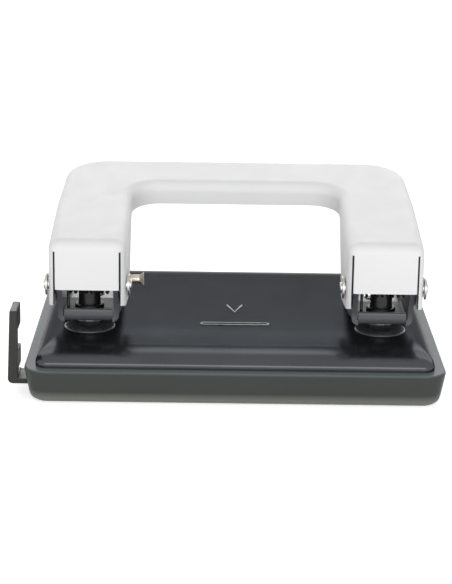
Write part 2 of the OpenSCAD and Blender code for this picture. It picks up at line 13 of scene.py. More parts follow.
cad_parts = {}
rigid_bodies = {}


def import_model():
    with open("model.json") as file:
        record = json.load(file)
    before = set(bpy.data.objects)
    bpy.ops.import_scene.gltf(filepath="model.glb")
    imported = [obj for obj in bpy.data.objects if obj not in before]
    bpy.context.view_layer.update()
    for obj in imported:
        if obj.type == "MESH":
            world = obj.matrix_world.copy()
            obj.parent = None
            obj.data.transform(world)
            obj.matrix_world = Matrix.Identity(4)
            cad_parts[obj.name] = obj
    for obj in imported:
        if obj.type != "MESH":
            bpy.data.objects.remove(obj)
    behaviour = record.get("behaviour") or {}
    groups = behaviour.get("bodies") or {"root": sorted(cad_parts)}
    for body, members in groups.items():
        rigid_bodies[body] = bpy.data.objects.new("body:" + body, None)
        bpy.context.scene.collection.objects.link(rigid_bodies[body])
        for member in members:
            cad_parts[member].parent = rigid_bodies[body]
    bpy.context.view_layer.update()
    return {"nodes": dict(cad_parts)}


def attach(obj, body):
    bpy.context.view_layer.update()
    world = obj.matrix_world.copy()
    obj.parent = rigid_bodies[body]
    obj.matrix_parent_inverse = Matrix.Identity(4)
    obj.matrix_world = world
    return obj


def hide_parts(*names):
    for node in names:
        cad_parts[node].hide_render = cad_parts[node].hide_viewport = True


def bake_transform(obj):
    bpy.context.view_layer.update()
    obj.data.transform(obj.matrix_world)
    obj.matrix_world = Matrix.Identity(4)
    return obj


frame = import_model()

LOG = logging.getLogger("hole_punch")
MM = 0.001
FULL_TURN = 2 * math.pi
QUARTER_TURN = math.pi / 2
WELD = 0.0005
CUT_WELD = 0.002
MIX_INPUTS = (0, 6, 7)
MIX_OUTPUT = 2
CUT_FLAT = 0.2
CAD_FLAT = 0.4
UNIT_X = 40.0
PUNCH_Y = -20.2
PLATE_Z = 13.5
AXLE = (-27.2, 27.4)
RIVET_Y = (-2.6, 7.4)
CHAMFER = ((0.3, 0.0), (0.1, 0.08), (0.0, 0.3))

Colour = tuple[float, float, float]
Place = tuple[float, float, float]
Pair = tuple[float, float]
Outline = list[Pair]
Socket = bpy.types.NodeSocket
Piece = bpy.types.Object
Pieces = list[Piece]
Verts = list[bmesh.types.BMVert]


class Body(Enum):
    """CAD bodies that pieces ride on."""

    BASE = "base"
    HANDLE = "handle"
    LEFT_PUNCH = "left_punch"
    RIGHT_PUNCH = "right_punch"
    LOCK_PIN = "lock_pin"
    TRAY = "tray"
    GUIDE = "guide"


class Side(Enum):
    """The two punch units; the value is the sign of their place along X."""

    LEFT = -1
    RIGHT = 1

    @property
    def prefix(self) -> str:
        """First part of the names of this unit's nodes."""
        return "left_" if self is Side.LEFT else "right_"

    @property
    def punch_body(self) -> Body:
        """Body of this unit's punch."""
        return Body.LEFT_PUNCH if self is Side.LEFT else Body.RIGHT_PUNCH


# ---- finishes ----


class NodeBoard:
    """Node tree in the making, with short calls that add and join nodes."""

    def __init__(self, owner: bpy.types.Material | bpy.types.World) -> None:
        """Empties a tree.

        Args:
            owner: Material or world that holds it.
        """
        owner.use_nodes = True
        self.owner = owner
        self.tree = owner.node_tree
        self.tree.nodes.clear()

    def feed(self, socket: Socket, value: object) -> None:
        """Sets a socket, or joins another node's output to it.

        Args:
            socket: Input of a node.
            value: Number, colour or output.
        """
        if isinstance(value, Socket):
            self.tree.links.new(value, socket)
        else:
            socket.default_value = value

    def fill(self, node: bpy.types.Node, **sockets: object) -> None:
        """Feeds inputs of a node by name, where "_" stands for a space."""
        for name, value in sockets.items():
            self.feed(node.inputs[name.replace("_", " ")], value)

    def add(self, kind: str, settings: dict | None = None, **sockets: object) -> bpy.types.Node:
        """Adds a node.

        Args:
            kind: Type name of the node.
            settings: Properties of the node.
            **sockets: Value or output for each input.

        Returns:
            The new node.
        """
        node = self.tree.nodes.new(kind)
        for name, value in (settings or {}).items():
            setattr(node, name, value)
        self.fill(node, **sockets)
        return node

    def span(self, factor: Socket, low: float, high: float, start: float = 0.3,
             end: float = 0.7) -> Socket:
        """Maps a factor that runs from start to end to values that run from low to high."""
        return self.add("ShaderNodeMapRange", Value=factor, From_Min=start, From_Max=end, To_Min=low,
                        To_Max=high).outputs[0]

    def larger(self, first: Socket, second: Socket) -> Socket:
        """The larger of two outputs."""
        node = self.add("ShaderNodeMath", {"operation": "MAXIMUM"})
        self.feed(node.inputs[0], first)
        self.feed(node.inputs[1], second)
        return node.outputs[0]

    def clear_ray(self) -> Socket:
        """An output that is 1 for camera, glossy and transmission rays, which see plain white, else 0."""
        ray = self.add("ShaderNodeLightPath").outputs
        bounced = self.larger(ray["Is Glossy Ray"], ray["Is Transmission Ray"])
        return self.larger(ray["Is Camera Ray"], bounced)


class SurfaceBoard(NodeBoard):
    """Tree of a material around its surface shader."""

    def __init__(self, name: str) -> None:
        """Starts a material.

        Args:
            name: Its name.
        """
        super().__init__(bpy.data.materials.new(name))
        self.shader = self.add("ShaderNodeBsdfPrincipled")
        self.add("ShaderNodeOutputMaterial", Surface=self.shader.outputs[0])
        self.place = self.add("ShaderNodeTexCoord").outputs["Object"]

    def noise(self, size_mm: float, detail: float = 2.0) -> Socket:
        """Noise on object coordinates, with spots of a size and a number of octaves."""
        scale = 1 / (size_mm * MM)
        return self.add("ShaderNodeTexNoise", Vector=self.place, Scale=scale, Detail=detail).outputs[0]

    def blend(self, factor: Socket, first: object, second: object) -> Socket:
        """Mixes two colours.

        Args:
            factor: Output from 0 to 1.
            first: Colour or output at 0.
            second: Colour or output at 1.

        Returns:
            The colour output.
        """
        mix = self.add("ShaderNodeMix", {"data_type": "RGBA"})
        for number, value in zip(MIX_INPUTS, (factor, first, second)):
            self.feed(mix.inputs[number], value)
        return mix.outputs[MIX_OUTPUT]

    def relief(self, height: Socket, depth_mm: float) -> Socket:
        """Bump from a height output that runs from 0 to 1, with its depth."""
        return self.add("ShaderNodeBump", Height=height, Distance=depth_mm * MM).outputs[0]


def shade(colour: Colour, factor: float) -> tuple[float, float, float, float]:
    """A colour times a factor, with full alpha."""
    return (colour[0] * factor, colour[1] * factor, colour[2] * factor, 1.0)


@dataclass(frozen=True)
class Finish:
    """Surface of a piece: its colour, how it shines and its fine relief."""

    name: str
    slot: str
    colour: Colour
    roughness: float
    metallic: float = 0.0
    tint_span: float = 0.04
    tint_size: float = 14.0
    rough_span: float = 0.06
    grain_size: float = 0.35
    grain_depth: float = 0.004
    specular: float = 0.5
    edge_tint: float = 1.0

    def material(self) -> bpy.types.Material:
        """The finish as a material, made once."""
        title = self.name + "_surface"
        return bpy.data.materials.get(title) or self.mix(SurfaceBoard(title)).owner

    def mix(self, board: SurfaceBoard) -> SurfaceBoard:
        """Builds the nodes of the finish.

        Args:
            board: Tree with nothing on its shader.

        Returns:
            The same tree, filled.
        """
        cloud, grain = board.noise(self.tint_size), board.noise(self.grain_size)
        smear = board.noise(self.tint_size / 3, 3.0)
        board.fill(
            board.shader,
            Base_Color=board.blend(board.span(cloud, 0, 1), shade(self.colour, 1 - self.tint_span),
                                   shade(self.colour, 1 + self.tint_span)),
            Roughness=board.span(smear, self.roughness - self.rough_span, self.roughness + self.rough_span),
            Metallic=self.metallic,
            Normal=board.relief(grain, self.grain_depth),
            Specular_IOR_Level=self.specular,
            Specular_Tint=shade((1, 1, 1), self.edge_tint),
        )
        return board


@dataclass(frozen=True)
class SmokedPlastic(Finish):
    """Tinted plastic, with light that comes through it painted as a paler colour at its rim and foot."""

    rim_z: float = 8.7
    rim_fade: float = 0.4
    foot_z: float = 3.4
    ior: float = 1.49
    rim_glow_colour: Colour = (0.2, 0.2, 0.2)
    foot_glow_colour: Colour = (0.2, 0.2, 0.2)

    def mix(self, board: SurfaceBoard) -> SurfaceBoard:
        """Adds the painted light at the rim and the foot to the plain finish.

        Args:
            board: Tree with nothing on its shader.

        Returns:
            The same tree, filled.
        """
        super().mix(board)
        wall = board.shader.inputs["Base Color"].links[0].from_socket
        height = board.add("ShaderNodeSeparateXYZ", Vector=board.place).outputs["Z"]
        # Painted light: a paler colour at the foot and the rim, where light comes through the plastic.
        foot = board.span(height, 1, 0, self.foot_z / 3 * MM, self.foot_z * MM)
        rim = board.span(height, 0, 1, self.rim_z * MM, (self.rim_z + self.rim_fade) * MM)
        tint_and_glow = board.blend(foot, wall, shade(self.foot_glow_colour, 1.0))
        tint_and_glow = board.blend(rim, tint_and_glow, shade(self.rim_glow_colour, 1.0))
        board.fill(board.shader, Base_Color=tint_and_glow, IOR=self.ior)
        return board


class Finishes:
    """Every finish of the punch."""

    ENAMEL = Finish("white_enamel", "white_enamel", (0.90, 0.90, 0.905), 0.55, tint_span=0.01,
                    grain_size=0.8, grain_depth=0.006, specular=0.3)
    # Near-black painted shade inside the handle's slit grooves, in place of the dark of a through slit.
    SLIT_SHADE = Finish("cut_sheet_edge", "white_enamel", (0.03, 0.03, 0.032), 0.6)
    PLATE = Finish("charcoal_paint", "charcoal_plate", (0.078, 0.082, 0.087), 0.2, 0.85, rough_span=0.01,
                   grain_size=0.3, grain_depth=0.002, specular=0.0, edge_tint=0.34)
    RUBBED = Finish("rubbed_paint", "charcoal_plate", (0.085, 0.088, 0.092), 0.3)
    # The tray's rim and foot colours are painted light that comes through the smoked plastic.
    TRAY = SmokedPlastic("smoked_plastic", "tray_smoke", (0.068, 0.075, 0.07), 0.32, tint_span=0.02,
                         grain_size=1.5, grain_depth=0.002, rough_span=0.01, specular=0.06,
                         rim_glow_colour=(0.15, 0.172, 0.178), foot_glow_colour=(0.22, 0.23, 0.2))
    GUIDE = Finish("dark_guide_plastic", "guide_plastic", (0.04, 0.04, 0.038), 0.4, specular=0.2)
    BRACKET = Finish("dark_bracket_paint", "bracket_steel", (0.10, 0.107, 0.118), 0.33)
    # Near-black painted shade on the inside of each bracket, where little light reaches.
    INSIDE_SHADE = Finish("greased_inside", "bracket_steel", (0.012, 0.012, 0.013), 0.6)
    RIVET = Finish("rivet_steel", "rivet_steel", (0.62, 0.62, 0.6), 0.35, 1.0)
    DIE = Finish("die_paint", "die_steel", (0.05, 0.053, 0.058), 0.3)
    BUSH = Finish("bush_steel", "bush_steel", (0.05, 0.05, 0.052), 0.4, 1.0)
    AXLE = Finish("axle_steel", "axle_steel", (0.55, 0.55, 0.55), 0.28, 1.0)
    RING = Finish("ring_steel", "ring_steel", (0.5, 0.48, 0.45), 0.35, 1.0)
    SPRING = Finish("spring_steel", "spring_steel", (0.10, 0.10, 0.105), 0.3, 1.0)
    # The punch is near-black above the bracket's floor and bright steel in its tip below it.
    PUNCH = Finish("punch_steel", "punch_steel", (0.03, 0.03, 0.032), 0.25, 0.6)
    BRIGHT_TIP = Finish("ground_steel", "punch_steel", (0.68, 0.69, 0.70), 0.18, 1.0)
    PIN = Finish("cross_pin_steel", "pin_steel", (0.55, 0.55, 0.55), 0.3, 1.0)
    LOCK = Finish("lock_pin_metal", "lock_metal", (0.60, 0.54, 0.46), 0.3, 1.0)


# ---- mesh work ----


def in_scene(name: str, data: bpy.types.ID) -> Piece:
    """Makes an object of some data and links it into the scene.

    Args:
        name: Name of the object.
        data: Mesh, curve, light or camera.

    Returns:
        The object.
    """
    thing = bpy.data.objects.new(name, data)
    bpy.context.scene.collection.objects.link(thing)
    return thing


class Workpiece:
    """A mesh in the making, in millimetres."""

    def __init__(self) -> None:
        """Starts with nothing."""
        self.mesh = bmesh.new()

    @classmethod
    def from_node(cls, node: str) -> "Workpiece":
        """Copies a CAD node, with its loose triangles merged into plain faces.

        Args:
            node: Name of the CAD node.

        Returns:
            The copy.
        """
        made = cls()
        made.mesh.from_mesh(frame["nodes"][node].data)
        bmesh.ops.scale(made.mesh, vec=(1 / MM,) * 3, verts=made.mesh.verts)
        made.merge()
        made.simplify(CAD_FLAT)
        return made

    def merge(self, distance: float = WELD) -> None:
        """Joins vertices that lie closer than a distance."""
        bmesh.ops.remove_doubles(self.mesh, verts=self.mesh.verts, dist=distance)

    def outward(self) -> "Workpiece":
        """Points every face outwards and returns the workpiece."""
        bmesh.ops.recalc_face_normals(self.mesh, faces=self.mesh.faces)
        return self

    def simplify(self, angle: float) -> None:
        """Joins faces that meet at less than an angle, in degrees."""
        bmesh.ops.dissolve_limit(self.mesh, angle_limit=math.radians(angle), verts=self.mesh.verts,
                                 edges=self.mesh.edges)

    def face(self, points: Outline, radii: dict[int, float] | None = None,
             segments: int = 8) -> bmesh.types.BMFace:
        """Makes a flat face in the XY plane, with some corners rounded.

        Args:
            points: Its corners, anticlockwise.
            radii: Radius of each rounded corner, by number.
            segments: Facets of each rounding.

        Returns:
            The face.
        """
        corners = [self.mesh.verts.new((x, y, 0)) for x, y in points]
        face = self.mesh.faces.new(corners)
        for number, radius in (radii or {}).items():
            corner = corners[number]
            sides = [e.other_vert(corner).co - corner.co for e in corner.link_edges]
            reach = radius / math.tan(sides[0].angle(sides[1]) / 2)
            rounded = bmesh.ops.bevel(self.mesh, geom=[corner], offset=reach, offset_type="OFFSET",
                                      segments=segments, profile=0.5, affect="VERTICES",
                                      clamp_overlap=False, material=-1)
            face = rounded["verts"][0].link_faces[0]
        return face

    def prism(self, points: Outline, low: float, high: float,
              radii: dict[int, float] | None = None, segments: int = 8) -> Verts:
        """Makes a closed prism along Z.

        Args:
            points: Corners of its outline, anticlockwise.
            low: Lower end.
            high: Upper end.
            radii: Radius of each rounded corner, by number.
            segments: Facets of each rounding.

        Returns:
            Its vertices.
        """
        old = set(self.mesh.verts)
        foot = self.face(points, radii, segments)
        raised = bmesh.ops.extrude_face_region(self.mesh, geom=[foot], use_keep_orig=True)["geom"]
        top = [v for v in raised if isinstance(v, bmesh.types.BMVert)]
        self.shift(top, (0, 0, high - low))
        made = [v for v in self.mesh.verts if v not in old]
        self.shift(made, (0, 0, low))
        return made

    def box(self, low: Place, high: Place, radius: float = 0.0) -> Verts:
        """Makes a closed box between two corners.

        Args:
            low: Lower corner.
            high: Upper corner.
            radius: Radius of its upright edges.

        Returns:
            Its vertices.
        """
        (x0, y0, z0), (x1, y1, z1) = low, high
        radii = dict.fromkeys(range(4), radius) if radius else None
        return self.prism([(x0, y0), (x1, y0), (x1, y1), (x0, y1)], z0, z1, radii)

    def along_x(self, verts: Verts) -> None:
        """Turns vertices so that their X, Y, Z become Y, Z, X."""
        turn = Matrix(((0, 0, 1), (1, 0, 0), (0, 1, 0)))
        bmesh.ops.transform(self.mesh, matrix=turn.to_4x4(), verts=verts)

    def along_y(self, verts: Verts) -> None:
        """Turns vertices so that their Y becomes Z, and their Z becomes Y backwards."""
        turn = Matrix.Rotation(QUARTER_TURN, 3, "X")
        bmesh.ops.rotate(self.mesh, cent=(0, 0, 0), matrix=turn, verts=verts)

    def rod_x(self, radius: float, start: float, end: float, y: float, z: float, facets: int = 48) -> None:
        """Adds a closed round rod along X.

        Args:
            radius: Its radius.
            start: Its lower end in X.
            end: Its upper end in X.
            y: Its axis in Y.
            z: Its axis in Z.
            facets: Sides of the rod.
        """
        made = bmesh.ops.create_cone(
            self.mesh, cap_ends=True, cap_tris=False, segments=facets, radius1=radius, radius2=radius,
            depth=end - start,
            matrix=Matrix.Translation(((start + end) / 2, y, z)) @ Matrix.Rotation(QUARTER_TURN, 4, "Y"),
        )
        faces = list({f for v in made["verts"] for f in v.link_faces})
        bmesh.ops.recalc_face_normals(self.mesh, faces=faces)

    def turned(self, outline: Outline, hollow: bool = False, facets: int = 64) -> Verts:
        """Turns an outline about the Z axis.

        Args:
            outline: Its corners as radius and height, from one end to the other.
            hollow: Whether the outline closes on itself around a bore.
            facets: Steps of the full turn.

        Returns:
            Its vertices.
        """
        old = set(self.mesh.verts)
        corners = [self.mesh.verts.new((radius, 0, height)) for radius, height in outline]
        pairs = list(zip(corners, corners[1:])) + ([(corners[-1], corners[0])] if hollow else [])
        edges = [self.mesh.edges.new(pair) for pair in pairs]
        bmesh.ops.spin(self.mesh, geom=corners + edges, cent=(0, 0, 0), axis=(0, 0, 1),
                       angle=FULL_TURN, steps=facets, use_merge=True)
        made = [v for v in self.mesh.verts if v not in old]
        bmesh.ops.remove_doubles(self.mesh, verts=made, dist=WELD)
        made = [v for v in self.mesh.verts if v not in old]
        faces = list({f for v in made for f in v.link_faces})
        bmesh.ops.recalc_face_normals(self.mesh, faces=faces)
        return made

    def shift(self, verts: Verts, place: Place) -> None:
        """Moves vertices by a vector."""
        bmesh.ops.translate(self.mesh, verts=verts, vec=place)

    @classmethod
    def wire(cls, points: list[Place], radius: float, sides: int = 3) -> "Workpiece":
        """Bends a round wire along points.

        Args:
            points: Its centre line.
            radius: Radius of the wire.
            sides: Fineness of its section.

        Returns:
            The closed wire.
        """
        path = bpy.data.curves.new("wire", "CURVE")
        path.dimensions, path.bevel_depth, path.bevel_resolution = "3D", radius, sides
        path.use_fill_caps = True
        run = path.splines.new("POLY")
        run.points.add(len(points) - 1)
        for knot, place in zip(run.points, points):
            knot.co = (*place, 1.0)
        made = cls()
        made.take(in_scene("wire", path))
        made.merge()
        return made.outward()

    def placed(self, name: str) -> Piece:
        """Puts a copy of the mesh into the scene.

        Args:
            name: Name of the object.

        Returns:
            The object.
        """
        data = bpy.data.meshes.new(name)
        self.mesh.to_mesh(data)
        return in_scene(name, data)

    def take(self, blank: Piece) -> None:
        """Takes over the shape of an object with its modifiers, and removes the object.

        Args:
            blank: The object.
        """
        graph = bpy.context.evaluated_depsgraph_get()
        result = bpy.data.meshes.new_from_object(blank.evaluated_get(graph))
        self.mesh.clear()
        self.mesh.from_mesh(result)
        bpy.data.batch_remove((blank, blank.data, result))

    def loft(self, rings: list["Ring"], segments: int = 10) -> None:
        """Bridges rounded rectangles, one above the other, and closes the first and the last.

        Args:
            rings: Rectangles in order.
            segments: Facets of each corner.
        """
        hoops, caps = [], []
        for ring in rings:
            old = set(self.mesh.edges)
            x, y = ring.half_x, ring.half_y
            radii = dict.fromkeys(range(4), ring.radius)
            cap = self.face([(-x, -y), (x, -y), (x, y), (-x, y)], radii, segments)
            self.shift(cap.verts, (0, 0, ring.z))
            hoops.append([e for e in self.mesh.edges if e not in old])
            caps.append(cap)
        bmesh.ops.delete(self.mesh, geom=caps[1:-1], context="FACES_ONLY")
        for first, second in zip(hoops, hoops[1:]):
            bmesh.ops.bridge_loops(self.mesh, edges=first + second)
        self.outward()

    def through(self, kind: str, **settings: object) -> "Workpiece":
        """Sends the mesh through a modifier.

        Args:
            kind: Type name of the modifier.
            **settings: Its properties.

        Returns:
            This workpiece.
        """
        blank = self.placed("in_work")
        modifier = blank.modifiers.new("step", kind)
        for name, value in settings.items():
            setattr(modifier, name, value)
        self.take(blank)
        return self

    def combine(self, tool: "Workpiece", how: str) -> "Workpiece":
        """Joins with, cuts by or keeps the inside of another closed shape.

        Args:
            tool: The other shape, used up.
            how: UNION, DIFFERENCE or INTERSECT.

        Returns:
            This workpiece.
        """
        other = tool.placed("tool")
        tool.mesh.free()
        self.through("BOOLEAN", operation=how, solver="EXACT", object=other)
        bpy.data.batch_remove((other, other.data))
        self.merge(CUT_WELD)
        self.simplify(CUT_FLAT)
        return self

    def soften(self, width: float, segments: int = 2, angle: float = 35.0) -> "Workpiece":
        """Rounds the edges where faces meet sharply.

        Args:
            width: How far a rounding reaches from its edge.
            segments: Facets of the rounding.
            angle: Least angle between the faces, in degrees.

        Returns:
            This workpiece.
        """
        sharp = [e for e in self.mesh.edges
                 if len(e.link_faces) == 2 and e.calc_face_angle(0) > math.radians(angle)]
        bmesh.ops.bevel(self.mesh, geom=sharp, offset=width, offset_type="OFFSET", segments=segments,
                        profile=0.5, affect="EDGES", clamp_overlap=True, material=-1)
        return self

    def finish(self, name: str, look: Finish, body: Body | None, replaces: tuple[str, ...] = (),
               smooth: float = 40.0) -> Piece:
        """Turns the workpiece into a dressed piece at the origin, in metres.

        Args:
            name: Name of the piece.
            look: Finish that it wears.
            body: Body that it rides on, or None for a piece that rides on no body.
            replaces: CAD nodes that it stands for.
            smooth: Edges with a larger angle stay sharp, in degrees.

        Returns:
            The piece.
        """
        bmesh.ops.scale(self.mesh, vec=(MM,) * 3, verts=self.mesh.verts)
        for face in self.mesh.faces:
            face.smooth = True
        for edge in self.mesh.edges:
            edge.smooth = edge.calc_face_angle(0) < math.radians(smooth)
        piece = self.placed(name)
        self.mesh.free()
        piece.data.materials.append(look.material())
        if body:
            piece.modifiers.new("even_normals", "WEIGHTED_NORMAL").keep_sharp = True
            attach(piece, body.value)
        if replaces:
            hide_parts(*replaces)
        return piece


@dataclass(frozen=True)
class Ring:
    """Rounded rectangle about the Z axis, one station of a loft."""

    half_x: float
    half_y: float
    radius: float
    z: float


# ---- base plate ----


@dataclass
class BasePlate:
    """Pressed sheet-steel cover with a domed border."""

    half_x: float = 53.0
    half_y: float = 45.0
    corner: float = 3.5
    edge_z: float = 9.2
    upright: float = 0.99
    border_x: float = 4.6
    border_y: float = 11.0
    inner_corner: float = 6.35
    corner_share: float = 0.6
    sheet: float = 1.2
    steps: int = 14
    crown: float = 0.3
    crown_side: float = 6.0
    crown_reach: float = 18.0
    crown_steps: int = 6
    least_step: float = 0.02
    over: float = 1.0
    die_seat: float = 5.03
    rivet_seat: float = 1.53
    softness: float = 0.12
    mark_root: float = 0.3
    mark_rise: float = 0.2
    mark_width: float = 0.45
    round_gap: float = 0.01
    arrow: Place = (-5.6, 2.2, 1.4)
    frame_bar: Place = (9.6, -16.9, 2.3)

    def skin(self, inset: float) -> list[Ring]:
        """Stations of one skin, from its edge to its top.

        Args:
            inset: How far the skin lies inside the outer one.

        Returns:
            The stations.
        """
        corner = self.corner - inset * self.corner_share
        rings = [Ring(self.half_x - inset, self.half_y - inset, corner, self.edge_z)]
        rise = PLATE_Z - self.crown - self.edge_z - self.upright
        turns = (QUARTER_TURN * step / self.steps for step in range(self.steps + 1))
        stations = [(1 - math.cos(turn), math.sin(turn), 0.0) for turn in turns]
        stations += [(1.0, 1.0, step / self.crown_steps) for step in range(1, self.crown_steps + 1)]
        full = self.border_y + self.crown_reach
        for number, (across, up, flat) in enumerate(stations, 1):
            depth = across * self.border_y + flat * self.crown_reach
            height = self.edge_z + self.upright + rise * up + self.crown * (1 - (1 - depth / full) ** 2)
            rings.append(Ring(
                self.half_x - inset - across * self.border_x - flat * self.crown_side,
                self.half_y - inset - depth,
                corner + across * (self.inner_corner - self.corner),
                max(height - inset, self.edge_z + self.least_step * number),
            ))
        return rings

    def holes(self) -> Workpiece:
        """Seats of the dies and of the rivets.

        Returns:
            The cutters.
        """
        work = Workpiece()
        top = PLATE_Z + self.over
        for side in Side:
            for y, radius in ((PUNCH_Y, self.die_seat), *((y, self.rivet_seat) for y in RIVET_Y)):
                outline = [(0, self.edge_z), (radius, self.edge_z), (radius, top), (0, top)]
                rod = work.turned(outline, facets=48)
                work.shift(rod, (side.value * UNIT_X, y, 0))
        return work

    def marks(self) -> Workpiece:
        """Thin bars of the middle arrow and of the frame in front of it.

        Returns:
            The bars, standing on the plate.
        """
        work = Workpiece()
        low, high = PLATE_Z - self.mark_root, PLATE_Z + self.mark_rise
        tip, wide, back = self.arrow
        half = self.mark_width / 2
        points = [(0, tip - 2 * half), (wide + half, back - half), (wide - half, back + half),
                  (0, tip + 2 * half), (half - wide, back + half), (-wide - half, back - half)]
        work.prism(points, low, high)
        x, y, depth = self.frame_bar
        work.box((-x, y - depth / 2, low), (x, y + depth / 2, high), depth / 2 - self.round_gap)
        return work.outward()

    def mark_hollow(self) -> Workpiece:
        """The sunk middle of the frame bar.

        Returns:
            The cutter.
        """
        work = Workpiece()
        x, y, depth = self.frame_bar
        x, half = x - self.mark_width, depth / 2 - self.mark_width
        work.box((-x, y - half, PLATE_Z), (x, y + half, PLATE_Z + self.over), half - self.round_gap)
        return work.outward()

    def build(self) -> Pieces:
        """Makes the plate with its stamped marks.

        Returns:
            The plate.
        """
        work = Workpiece()
        work.loft(self.skin(self.sheet)[::-1] + self.skin(0.0))
        work.soften(self.softness)
        work.combine(self.holes(), "DIFFERENCE")
        work.combine(self.marks(), "UNION")
        work.combine(self.mark_hollow(), "DIFFERENCE")
        bmesh.ops.holes_fill(work.mesh, edges=[e for e in work.mesh.edges if e.is_boundary], sides=0)
        for face in work.mesh.faces:
            if face.calc_center_median().z > PLATE_Z + self.mark_rise / 4:
                face.material_index = 1
        plate = work.finish("pressed_base_plate", Finishes.PLATE, Body.BASE, ("base_plate",))
        plate.data.materials.append(Finishes.RUBBED.material())
        return [plate]


# ---- chip tray and paper guide ----


@dataclass
class ChipTray:
    """Smoked tray with a ledge, a snap lip and the paper guide's runner."""

    half_x: float = 56.0
    half_y: float = 48.0
    corner: float = 6.5
    corner_steps: int = 14
    outer: tuple = ((3.5, 0.0), (2.9, 0.12), (2.5, 0.35), (2.0, 0.68), (1.65, 1.0), (1.4, 1.5), (1.2, 2.2),
                    (0.0, 8.4), (0.04, 8.7), (0.16, 8.95), (0.32, 9.12), (0.5, 9.2))
    lip: tuple = ((5.3, 3.0, 9.2), (5.3, 3.0, 9.75), (5.55, 2.8, 10.0), (6.25, 2.2, 10.0), (6.5, 2.0, 9.75),
                  (6.5, 2.0, 7.7))
    inner: tuple = ((1.5, 7.7), (2.8, 2.6), (3.05, 2.1), (3.5, 1.6), (4.2, 1.4))
    window: tuple = ((-57.0, -39.7, 2.8), (-51.7, -30.2, 4.6))
    rail_x: Pair = (-53.2, -3.2)
    guide_y: float = -34.95
    guide_half: float = 4.55
    play: float = 0.2
    bed_z: Pair = (1.3, 2.8)
    bed_root: float = 0.3
    rail: float = 1.2
    hook_length: float = 5.0
    hook_reach: float = 0.8
    hook_z: float = 4.6

    def shell(self) -> Workpiece:
        """Walls, floor, ledge and lip as one shell.

        Returns:
            The closed shell.
        """
        rings = [Ring(self.half_x - d, self.half_y - d, self.corner - d, z) for d, z in self.outer]
        rings += [Ring(self.half_x - d, self.half_y - d, radius, z) for d, radius, z in self.lip]
        rings += [Ring(self.half_x - d, self.half_y - d, self.corner - d, z) for d, z in self.inner]
        work = Workpiece()
        work.loft(rings, self.corner_steps)
        return work

    def runner(self) -> list[Workpiece]:
        """Bed, side rails and hooks in which the paper guide slides.

        Returns:
            The parts of the runner, to be joined one by one.
        """
        x0, x1 = self.rail_x
        low, high = self.bed_z
        near, far = self.guide_half + self.play, self.guide_half + self.play + self.rail
        parts = [Workpiece()]
        parts[0].box((x0, self.guide_y - far, low - self.bed_root), (x1, self.guide_y + far, high))
        for sign in (-1, 1):
            side = Workpiece()
            y0, y1 = sorted((self.guide_y + sign * near, self.guide_y + sign * far))
            side.box((x0, y0, low), (x1, y1, self.hook_z + self.rail))
            hook = Workpiece()
            inner = self.guide_half - self.hook_reach
            y0, y1 = sorted((self.guide_y + sign * inner, self.guide_y + sign * far))
            hook.box((x1 - self.hook_length, y0, self.hook_z), (x1, y1, self.hook_z + self.rail))
            parts += [side, hook]
        return [part.outward() for part in parts]

    def build(self) -> Pieces:
        """Makes the tray.

        Returns:
            The tray.
        """
        work = self.shell()
        for part in self.runner():
            work.combine(part, "UNION")
        gap = Workpiece()
        gap.box(*self.window)
        work.combine(gap.outward(), "DIFFERENCE")
        return [work.finish("smoked_chip_tray", Finishes.TRAY, Body.TRAY, ("chip_tray",), smooth=50)]


@dataclass
class PaperGuide:
    """Dark sliding guide with a ribbed upright flange."""

    softness: float = 0.25

    def build(self) -> Pieces:
        """Rounds the moulded edges of the guide."""
        work = Workpiece.from_node("paper_guide").soften(self.softness, 3)
        return [work.finish("sliding_paper_guide", Finishes.GUIDE, Body.GUIDE, ("paper_guide",))]


# ---- handle ----


